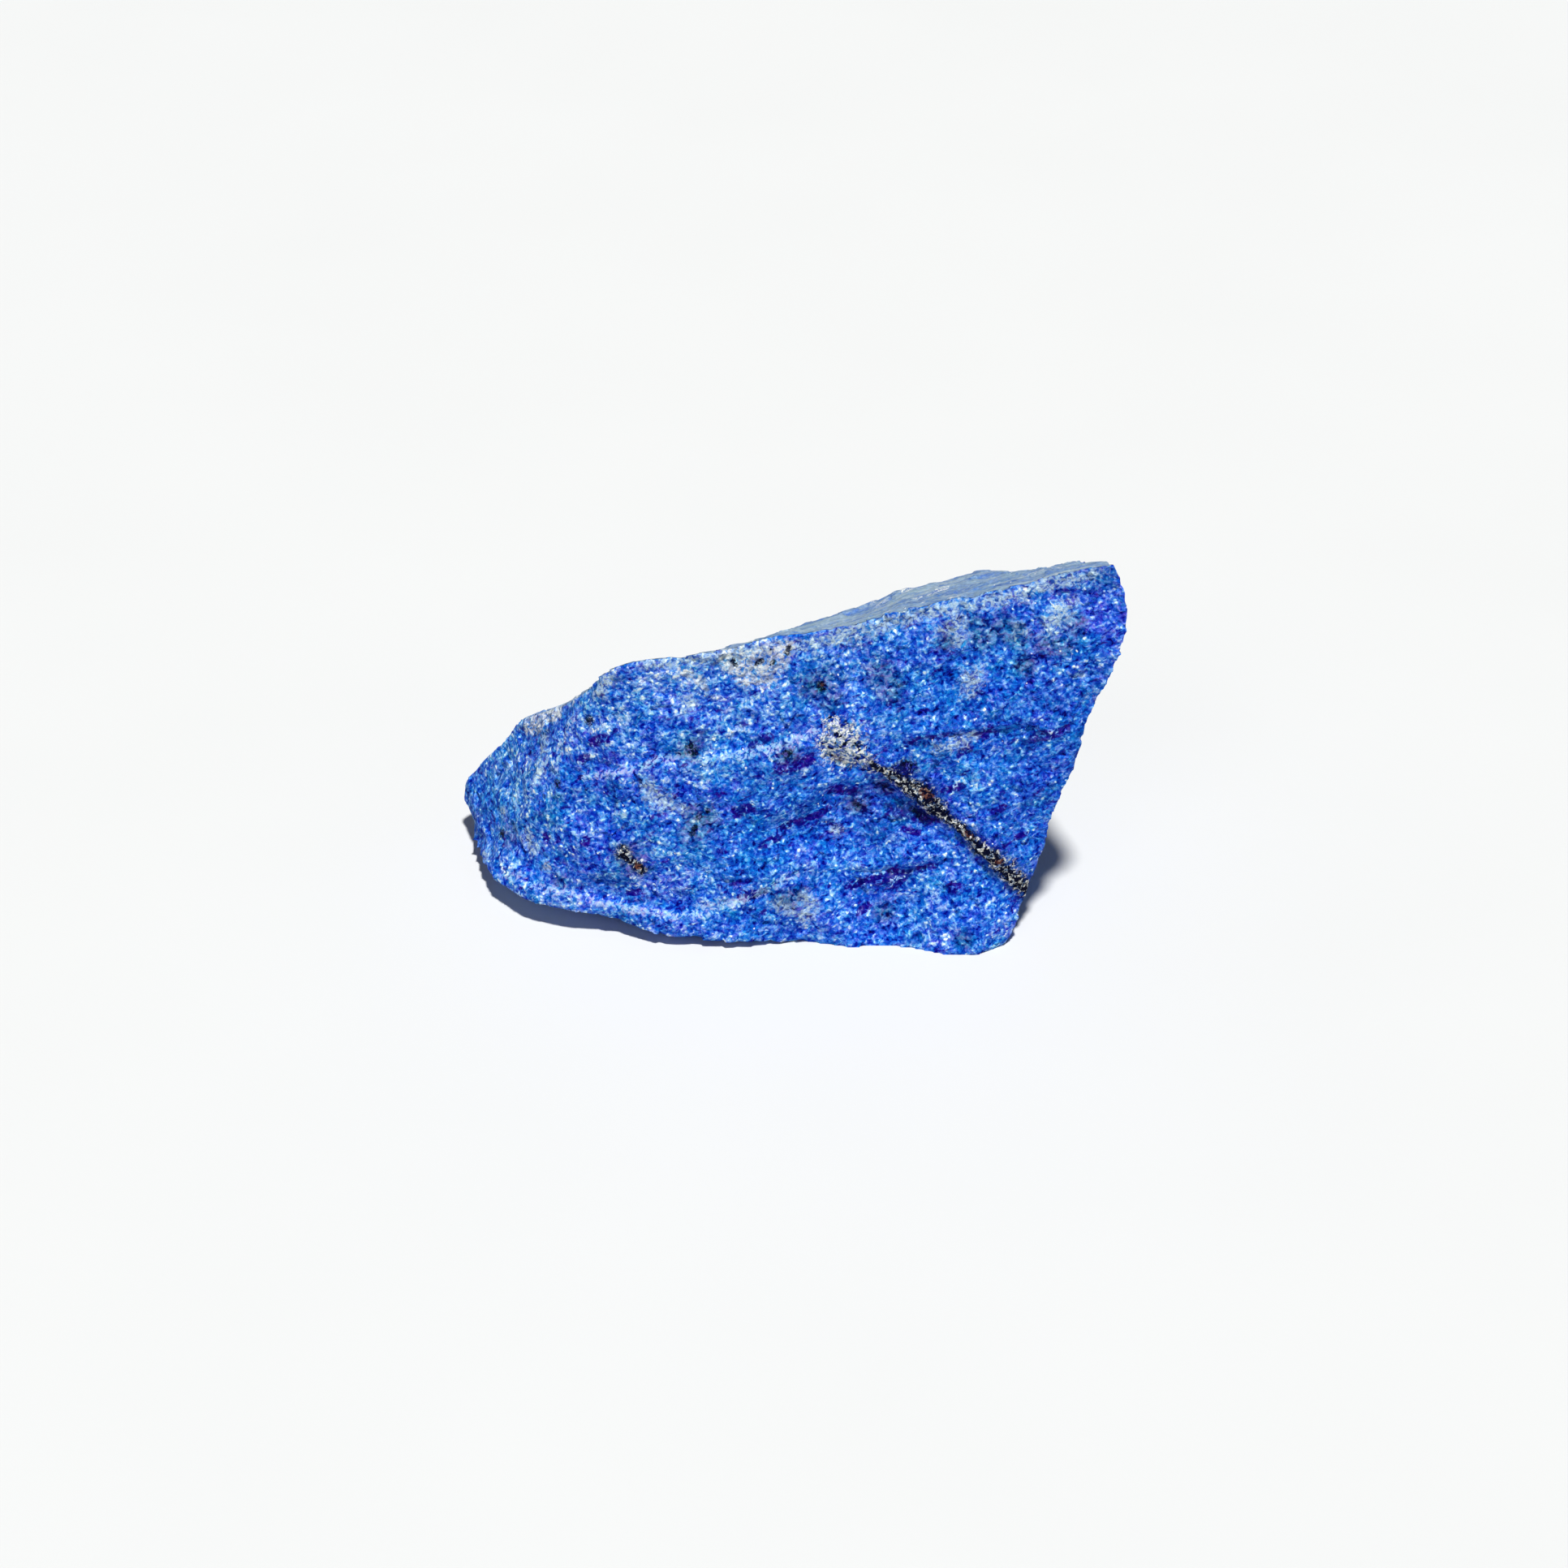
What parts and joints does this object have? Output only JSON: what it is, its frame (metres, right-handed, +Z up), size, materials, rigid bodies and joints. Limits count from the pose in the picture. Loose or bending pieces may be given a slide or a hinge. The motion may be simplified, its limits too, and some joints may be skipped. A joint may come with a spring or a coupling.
{
  "type": "lapis lazuli specimen",
  "caption": "Rough wedge-shaped chip of blue lapis lazuli with a broad broken face, a dark slanting vein and a flat worn underside to rest on.",
  "frame": {"origin": "middle of the stone's box, at the level of the flat on which it rests", "axes": "+Z up, X along the stone's long way, -Y towards the broad broken face"},
  "size_m": [0.0424, 0.0174, 0.0247],
  "materials": {
    "lapis_lazuli": "matte broken surface, granular, with fine glints"
  },
  "bodies": {
    "root": {"lapis_stone": "lapis_lazuli"}
  },
  "joints": []
}
